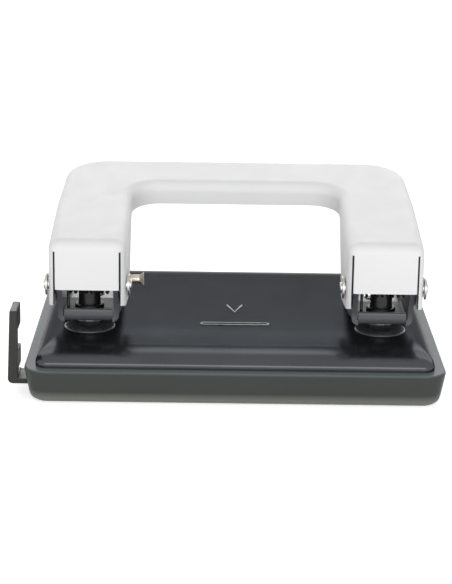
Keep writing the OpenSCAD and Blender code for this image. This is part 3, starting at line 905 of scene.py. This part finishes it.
@dataclass
class Handle:
    """White handle, one sheet with four ears, two skirts and a grip bar."""

    half_x: float = 50.4
    taper: float = 1.2
    front: float = -31.7
    knee: float = 0.9
    back: float = 33.5
    rear_radius: float = 12.0
    opening_x: float = 29.6
    opening_back: float = 13.5
    opening_radius: float = 8.0
    top_z: float = 41.0
    crest_z: float = 48.84
    slope: float = math.radians(7.8)
    sheet: float = 1.5
    bend: float = 3.0
    bend_steps: int = 8
    blank_foot: float = 12.0
    slit_top: float = 37.2
    slit: float = 0.3
    slit_depth: float = 1.1
    slit_under: float = 0.5
    skirt_foot: float = 26.9
    flange: float = 6.6
    ear_in: float = 8.9
    tip_radius: float = 1.6
    heel_radius: float = 4.0
    heel: Pair = (-12.9, 24.2)
    tip: Pair = (-30.1, 23.9)
    lean: float = math.radians(51)
    fillet: float = 6.0
    bore_radius: float = 1.53
    slot_radius: float = 1.58
    slot_play: float = 0.188
    slot_reach: float = 7.0
    slot_turn: float = math.radians(10)
    lock_hole: Place = (-14.0, 25.3, 1.35)
    hole_span: Pair = (7.0, 14.0)
    notch_low: float = 5.0
    spare: float = 2.0
    far: float = 90.0
    aside: float = 70.0
    weld: float = 0.06
    softness: float = 0.22
    near: float = 0.01
    margin: float = 0.1

    def top_at(self, y: float) -> float:
        """Height of the top's outer face at a place in Y."""
        return self.top_z + (y - AXLE[0]) * math.tan(self.slope)

    def blank(self) -> Workpiece:
        """Outer skin of the sheet: the top with deep walls all round.

        Returns:
            The open skin.
        """
        work = Workpiece()
        x, rear, hole = self.half_x, self.half_x - self.taper, self.opening_x
        top = work.face(
            [(-x, self.front), (-hole, self.front), (-hole, self.opening_back), (hole, self.opening_back),
             (hole, self.front), (x, self.front), (x, self.knee), (rear, self.back), (-rear, self.back),
             (-x, self.knee)],
            {2: self.opening_radius, 3: self.opening_radius, 7: self.rear_radius, 8: self.rear_radius}, 12,
        )
        upper = set(top.verts)
        walls = bmesh.ops.extrude_edge_only(work.mesh, edges=list(top.edges))["geom"]
        for vert in (v for v in walls if isinstance(v, bmesh.types.BMVert)):
            height = self.top_at(vert.co.y) - self.blank_foot
            vert.co.z = self.blank_foot
            if abs(vert.co.x) <= hole + self.near and vert.co.y > self.front + self.spare:
                vert.co.y += height * math.tan(self.slope)
        for vert in upper:
            vert.co.z = self.top_at(vert.co.y)
        work.outward()
        work.mesh.normal_update()
        rim = [e for e in work.mesh.edges if all(v in upper for v in e.verts)]
        posts = [e for e in work.mesh.edges if len(set(e.verts) & upper) == 1
                 and all(abs(v.co.y - self.front) < self.near for v in e.verts)]
        bmesh.ops.bevel(work.mesh, geom=rim + posts, offset=self.bend, offset_type="OFFSET",
                        segments=self.bend_steps, profile=0.5, affect="EDGES", clamp_overlap=False,
                        material=-1)
        for vert in work.mesh.verts:
            vert.co.z = min(vert.co.z, self.crest_z)
        return work

    def side_outline(self) -> Workpiece:
        """Prism across the handle that keeps the ears in front and the flanges behind.

        Returns:
            The prism.
        """
        far, ahead = self.far, self.front - 2 * self.near
        gap = Vector(self.heel) - Vector(self.tip)
        fall = math.atan2(gap.y, gap.x) - math.asin((self.heel_radius - self.tip_radius) / gap.length)
        low = Vector(self.tip) + self.tip_radius * Vector((math.sin(fall), -math.cos(fall)))
        rear = Vector(self.heel) + self.heel_radius * Vector((math.sin(self.lean), -math.cos(self.lean)))
        under = Vector((AXLE[0], self.top_z - self.flange))
        heel = self.meet(low, fall, rear, self.lean)
        fillet = self.meet(rear, self.lean, under, self.slope)
        points = [(ahead, far), (ahead, low.y + (ahead - low.x) * math.tan(fall)), tuple(heel),
                  tuple(fillet), (far, under.y + (far - under.x) * math.tan(self.slope)), (far, far)]
        work = Workpiece()
        radii = {1: self.tip_radius, 2: self.heel_radius, 3: self.fillet}
        verts = work.prism(points, -self.aside, self.aside, radii, 12)
        work.along_x(verts)
        return work.outward()

    @staticmethod
    def meet(first: Vector, first_angle: float, second: Vector, second_angle: float) -> Vector:
        """Point where two lines cross.

        Args:
            first: Point of one line.
            first_angle: Its direction.
            second: Point of the other line.
            second_angle: Its direction.

        Returns:
            The crossing.
        """
        a, b = math.tan(first_angle), math.tan(second_angle)
        y = (second.y - first.y + a * first.x - b * second.x) / (a - b)
        return Vector((y, first.y + a * (y - first.x)))

    def notches(self) -> Workpiece:
        """The room under each skirt.

        Returns:
            The cutters.
        """
        work = Workpiece()
        for sign in (-1, 1):
            x0, x1 = sign * UNIT_X - self.ear_in, sign * UNIT_X + self.ear_in
            work.along_y(work.box((x0, self.notch_low, -self.front - self.bend - self.margin),
                                  (x1, self.skirt_foot, -self.front + self.spare)))
        return work.outward()

    def slits(self) -> Workpiece:
        """The narrow slits beside each skirt.

        Returns:
            The cutters.
        """
        work = Workpiece()
        for sign in (-1, 1):
            for edge in (-1, 1):
                x0, x1 = sorted(sign * UNIT_X + edge * x for x in (self.ear_in - self.slit, self.ear_in))
                low = (x0, self.skirt_foot - self.slit_under, -self.front - self.slit_depth)
                work.along_y(work.box(low, (x1, self.slit_top, -self.front + self.spare)))
        return work.outward()

    def bores(self) -> Workpiece:
        """Bores of the axles, slots of the cross pins and the lock pin's hole.

        Returns:
            The cutters.
        """
        work = Workpiece()
        inner, outer = self.hole_span
        for sign in (-1, 1):
            start, end = sign * UNIT_X - outer, sign * UNIT_X + outer
            work.rod_x(self.bore_radius, start, end, *AXLE)
            y = AXLE[0] + self.slot_reach * math.cos(self.slot_turn)
            z = AXLE[1] + self.slot_reach * math.sin(self.slot_turn)
            work.rod_x(self.slot_radius + self.slot_play / 2, start, end, y, z)
        y, z, radius = self.lock_hole
        work.rod_x(radius, -UNIT_X + inner, -UNIT_X + outer, y, z)
        return work.outward()

    def build(self) -> Pieces:
        """Makes the handle.

        Returns:
            The handle.
        """
        work = self.blank()
        work.through("SOLIDIFY", thickness=self.sheet, offset=-1.0, use_even_offset=True,
                     use_quality_normals=True)
        work.combine(self.side_outline(), "INTERSECT")
        work.combine(self.notches(), "DIFFERENCE")
        work.merge(self.weld)
        work.soften(self.softness, 3)
        work.combine(self.slits(), "DIFFERENCE")
        self.darken_slits(work)
        work.combine(self.bores(), "DIFFERENCE")
        handle = work.finish("white_handle", Finishes.ENAMEL, Body.HANDLE, ("handle",), smooth=30)
        # The second material is the painted shade inside the slits.
        handle.data.materials.append(Finishes.SLIT_SHADE.material())
        return [handle]

    def darken_slits(self, work: Workpiece) -> None:
        """Gives the faces inside the slit grooves the second material, a near-black painted shade.

        Args:
            work: The handle.
        """
        inner, outer = self.ear_in - self.slit - self.near, self.ear_in + self.near
        for face in work.mesh.faces:
            place = face.calc_center_median()
            across = abs(abs(place.x) - UNIT_X)
            depth = place.y - self.front
            if (inner < across < outer and 2 * self.near < depth < self.slit_depth + self.margin
                    and place.z < self.slit_top + self.margin):
                face.material_index = 1


# ---- punch units ----


@dataclass
class PunchUnit:
    """One bracket with its die, bush, punch, hinge axle and return spring."""

    side: Side
    axle_end: float = 11.9
    axle_radius: float = 1.5
    groove_radius: float = 1.1
    ring_in: float = 10.7
    ring_out: float = 11.4
    drive_z: float = 28.63
    drive_end: float = 10.3
    drive_radius: float = 1.5
    rivet_sink: float = 1.2
    bracket_edge: float = 0.2
    ring_edge: float = 0.1
    punch_edge: float = 0.06
    wire: float = 0.4
    coil_radius: float = 2.25
    coil_half: float = 5.6
    coil_start: float = 15.0
    coil_sweep: float = 2830.0
    coil_steps: int = 192
    lower_leg: tuple = ((3.62, -4.83), (3.62, -9.4))
    upper_leg: tuple = ((10.24, 10.66), (9.9007, 13.1369))
    # Zone of the bracket's inside that gets the painted shade.
    inside: tuple[Place, Place] = ((-6.95, -24.5, 17.6), (6.95, -6.0, 40.0))
    # Zone of the punch's tip that is bright steel; the rest of the punch is near-black.
    bright_tip_zone: tuple[Place, Place] = ((-4, -30, 10), (4, -10, 16.2))
    die_outline: tuple = ((3.05, -1.6), (3.05, 0.28), (3.17, 0.4), (6.62, 0.4), (6.84, 0.36), (6.97, 0.26),
                          (7.0, 0.12), (7.0, 0.0), (5.0, 0.0), (5.0, -3.0), (3.4, -3.0), (3.4, -1.6))
    bush_outline: tuple = ((3.05, 16.3), (3.7, 16.3), (3.7, 17.7), (4.0, 17.7), (4.0, 19.9), (3.91, 20.11),
                           (3.7, 20.2), (3.15, 20.2), (3.05, 20.1))
    rivet_outline: tuple = ((0, -0.7), (2.0, -0.7), (2.25, 0), (1.5, 0), (1.5, 2.6), (2.46, 2.6),
                            (2.5, 2.75), (2.42, 3.0), (2.15, 3.26), (1.7, 3.45), (0.9, 3.57), (0, 3.6))

    @property
    def centre(self) -> float:
        """Place of the unit along X."""
        return self.side.value * UNIT_X

    def fit(self, work: Workpiece, node: str, name: str, look: Finish, body: Body = Body.BASE) -> Piece:
        """Finishes a turned part of this unit in place of its CAD node."""
        return work.finish(self.side.prefix + name, look, body, (self.side.prefix + node,), smooth=50)

    def dress(self, node: str, name: str, look: Finish, softness: float, segments: int = 2,
              body: Body = Body.BASE, inner: Finish | None = None,
              zone: tuple[Place, Place] = ((0, 0, 0), (0, 0, 0))) -> Piece:
        """Dresses a part whose CAD shape is right, with its edges rounded.

        Args:
            node: Name of the CAD node without the side.
            name: Name of the piece without the side.
            look: Finish that it wears.
            softness: Width of the rounding.
            segments: Facets of the rounding.
            body: Body that it rides on.
            inner: Second finish, of the faces in a zone.
            zone: Lower and upper corner of the zone, from the middle of the unit.

        Returns:
            The piece.
        """
        work = Workpiece.from_node(self.side.prefix + node).soften(softness, segments)
        if inner:
            low, high = zone
            whole = [*work.mesh.verts, *work.mesh.edges, *work.mesh.faces]
            bmesh.ops.bisect_plane(work.mesh, geom=whole, dist=CUT_WELD / 2, plane_co=(0, 0, high[2]),
                                   plane_no=(0, 0, 1))
            for face in work.mesh.faces:
                place = face.calc_center_median() - Vector((self.centre, 0, 0))
                if all(a <= c <= b for a, c, b in zip(low, place, high)):
                    face.material_index = 1
        piece = work.finish(self.side.prefix + name, look, body, (self.side.prefix + node,))
        if inner:
            piece.data.materials.append(inner.material())
        return piece

    def upright(self, outline: Outline, z: float) -> Workpiece:
        """Turns a bored part around the punch.

        Args:
            outline: Radius and height of its corners.
            z: Height of the outline's zero.

        Returns:
            The part.
        """
        work = Workpiece()
        work.shift(work.turned(outline, hollow=True), (self.centre, PUNCH_Y, z))
        return work

    def cross_rod(self, half: Outline, y: float, z: float) -> Workpiece:
        """Turns a rod that lies across the unit, the same at both ends.

        Args:
            half: Radius and place along X of its corners, from the far end to the middle.
            y: Its axis in Y.
            z: Its axis in Z.

        Returns:
            The rod.
        """
        work = Workpiece()
        verts = work.turned([(radius, -x) for radius, x in half] + half[::-1], facets=48)
        work.along_x(verts)
        work.shift(verts, (self.centre, y, z))
        return work.outward()

    @staticmethod
    def chamfered(far: float, radius: float) -> Outline:
        """End of a rod with a small chamfer, as radius and place."""
        return [(0, far), *((radius - inset, far - depth) for inset, depth in CHAMFER)]

    def die(self) -> Piece:
        """Makes the flanged die, which stands a little proud of the plate."""
        return self.fit(self.upright(self.die_outline, PLATE_Z), "die", "die_ring", Finishes.DIE)

    def bush(self) -> Piece:
        """Makes the guide bush around the punch."""
        return self.fit(self.upright(self.bush_outline, 0), "guide_bush", "punch_bush", Finishes.BUSH)

    def rivets(self) -> Piece:
        """Makes the two domed rivets in the bracket's foot.

        Returns:
            Both rivets as one piece.
        """
        work = Workpiece()
        for y in RIVET_Y:
            rivet = work.turned(self.rivet_outline, facets=48)
            work.shift(rivet, (self.centre, y, PLATE_Z - self.rivet_sink))
        return self.fit(work, "rivets", "foot_rivets", Finishes.RIVET)

    def hinge_axle(self) -> Piece:
        """Makes the hinge axle, with a groove for each retaining ring.

        Returns:
            The axle.
        """
        r, groove = self.axle_radius, self.groove_radius
        half = self.chamfered(self.axle_end, r) + [(r, self.ring_out), (groove, self.ring_out),
                                                   (groove, self.ring_in), (r, self.ring_in)]
        return self.fit(self.cross_rod(half, *AXLE), "hinge_axle", "hinge_pin", Finishes.AXLE)

    def cross_pin(self) -> Piece:
        """Makes the cross pin that drives the punch."""
        work = self.cross_rod(self.chamfered(self.drive_end, self.drive_radius), PUNCH_Y, self.drive_z)
        return self.fit(work, "drive_pin", "cross_pin", Finishes.PIN, self.side.punch_body)

    def return_spring(self) -> Piece:
        """Makes the coiled spring, with one leg on the bracket and one under the handle.

        Returns:
            The spring.
        """
        y0, z0 = AXLE
        path = [(-self.coil_half, *self.lower_leg[1]), (-self.coil_half, *self.lower_leg[0])]
        for step in range(self.coil_steps + 1):
            share = step / self.coil_steps
            turn = math.radians(self.coil_start + self.coil_sweep * share)
            path.append(((2 * share - 1) * self.coil_half, self.coil_radius * math.cos(turn),
                         self.coil_radius * math.sin(turn)))
        path += [(self.coil_half, *self.upper_leg[0]), (self.coil_half, *self.upper_leg[1])]
        work = Workpiece.wire([(self.centre + x, y0 + y, z0 + z) for x, y, z in path], self.wire)
        spring = work.finish(self.side.prefix + "coil_spring", Finishes.SPRING, None, smooth=60)
        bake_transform(spring)
        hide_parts(self.side.prefix + "return_spring")
        return spring

    def build(self) -> Pieces:
        """Makes every part of the unit.

        Returns:
            Its pieces.
        """
        return [
            # The inside of each bracket wears the painted shade.
            self.dress("bracket", "bent_bracket", Finishes.BRACKET, self.bracket_edge, 3,
                       inner=Finishes.INSIDE_SHADE, zone=self.inside),
            self.dress("axle_rings", "retaining_rings", Finishes.RING, self.ring_edge),
            self.dress("punch", "round_punch", Finishes.PUNCH, self.punch_edge,
                       body=self.side.punch_body, inner=Finishes.BRIGHT_TIP, zone=self.bright_tip_zone),
            self.die(), self.bush(), self.rivets(), self.hinge_axle(), self.cross_pin(),
            self.return_spring(),
        ]


@dataclass
class LockPin:
    """Turned lock pin with a flared, dished head."""

    y: float = -14.0
    z: float = 25.3
    tip_x: float = -31.3
    neck_x: float = -26.7
    head_x: float = -25.4
    shaft: float = 1.3
    head: float = 2.0
    flare: float = 0.58
    flare_length: float = 1.1
    flare_curve: float = 2.2
    flare_steps: int = 6
    tip: tuple = ((0.3, 0), (0.08, 0.08), (0, 0.3))
    dish: tuple = ((0, 0.1), (0.06, 0.02), (0.25, 0), (0.45, 0.06), (0.9, 0.4))
    dish_depth: float = 0.6

    def build(self) -> Pieces:
        """Makes the pin.

        Returns:
            The pin.
        """
        tip = [(self.shaft - inset, self.tip_x + depth) for inset, depth in self.tip]
        outline = [(0, self.tip_x), *tip, (self.shaft, self.neck_x)]
        for step in range(1, self.flare_steps + 1):
            share = step / self.flare_steps
            outline.append((self.shaft + self.flare * share ** self.flare_curve,
                            self.neck_x + share * self.flare_length))
        outline += [(self.head - inset, self.head_x - depth) for inset, depth in self.dish]
        outline.append((0, self.head_x - self.dish_depth))
        work = Workpiece()
        verts = work.turned(outline)
        work.along_x(verts)
        work.shift(verts, (0, self.y, self.z))
        work.outward()
        return [work.finish("flared_lock_pin", Finishes.LOCK, Body.LOCK_PIN, ("lock_pin",), smooth=50)]


# ---- stage ----


@dataclass(frozen=True)
class Lamp:
    """Soft rectangular lamp, in metres and watts."""

    name: str
    place: Place
    size: Pair
    power: float
    target: Place = (0, 0, 0.02)

    def build(self) -> None:
        """Hangs the lamp, turned to its target."""
        data = bpy.data.lights.new(self.name, "AREA")
        data.shape, data.energy = "RECTANGLE", self.power
        data.size, data.size_y = self.size
        aim = (Vector(self.target) - Vector(self.place)).to_track_quat("-Z", "Y")
        in_scene(self.name, data).matrix_world = Matrix.Translation(self.place) @ aim.to_matrix().to_4x4()


@dataclass
class Studio:
    """Floor, light and camera."""

    focal_px: float = 1893.0
    frame_px: tuple[int, int] = (452, 584)
    pitch: float = 16.0
    yaw: float = 0.40
    roll: float = 0.87
    camera_mm: Place = (-6.1, -519.3, 166.8)
    sensor_mm: float = 36.0
    clip: Pair = (0.01, 50.0)
    ambient: float = 0.4
    floor_half: float = 6.0
    floor_tone: float = 0.95
    floor_roughness: float = 0.9
    floor_glow: float = 0.6
    lamps: tuple[Lamp, ...] = (
        Lamp("upper", (0.0, 1.1, 0.85), (2.2, 0.35), 5.0),
        Lamp("strip", (0.0, 1.52, 0.70), (2.2, 0.14), 9.0),
        Lamp("front", (0.0, -1.8, 0.55), (2.8, 1.4), 24.0, (0, 0, 0.03)),
    )

    def camera(self) -> Piece:
        """Places the camera where the photograph was taken from.

        Returns:
            The camera.
        """
        data = bpy.data.cameras.new("camera")
        data.sensor_fit, data.sensor_width = "AUTO", self.sensor_mm
        data.lens = self.focal_px * self.sensor_mm / max(self.frame_px)
        data.clip_start, data.clip_end = self.clip
        camera = in_scene("camera", data)
        turn = (Matrix.Rotation(math.radians(-self.yaw), 4, "Z")
                @ Matrix.Rotation(math.radians(90 - self.pitch), 4, "X")
                @ Matrix.Rotation(math.radians(self.roll), 4, "Z"))
        camera.matrix_world = Matrix.Translation(Vector(self.camera_mm) * MM) @ turn
        bpy.context.scene.camera = camera
        return camera

    def world(self) -> None:
        """White behind the object and in its reflections, plain soft light on it."""
        board = NodeBoard(bpy.data.worlds.new("studio"))
        bpy.context.scene.world = board.owner
        level = board.span(board.clear_ray(), self.ambient, 1.0, 0, 1)
        light = board.add("ShaderNodeBackground", Color=(1, 1, 1, 1), Strength=level)
        board.add("ShaderNodeOutputWorld", Surface=light.outputs[0])

    def floor(self) -> Piece:
        """Lays a plain white floor that keeps a faint shadow.

        Returns:
            The floor.
        """
        mesh = bmesh.new()
        bmesh.ops.create_grid(mesh, x_segments=1, y_segments=1, size=self.floor_half)
        data = bpy.data.meshes.new("floor")
        mesh.to_mesh(data)
        mesh.free()
        board = SurfaceBoard("floor_white")
        glow = board.span(board.clear_ray(), 0, self.floor_glow, 0, 1)
        board.fill(board.shader, Base_Color=shade((1, 1, 1), self.floor_tone),
                   Roughness=self.floor_roughness, Emission_Color=(1, 1, 1, 1), Emission_Strength=glow)
        data.materials.append(board.owner)
        floor = in_scene("floor", data)
        return floor

    def build(self) -> Pieces:
        """Sets up the whole stage.

        Returns:
            The camera and the floor.
        """
        self.world()
        for lamp in self.lamps:
            lamp.build()
        bpy.context.scene.view_settings.view_transform = "Standard"
        return [self.camera(), self.floor()]


def main() -> None:
    """Builds the punch and its stage."""
    logging.basicConfig(level=logging.INFO, format="%(name)s: %(message)s")
    for part in (ChipTray(), PaperGuide(), BasePlate(), PunchUnit(Side.LEFT), PunchUnit(Side.RIGHT),
                 LockPin(), Handle(), Studio()):
        for piece in part.build():
            LOG.info("%s is ready", piece.name)


if __name__ == "__main__":
    main()
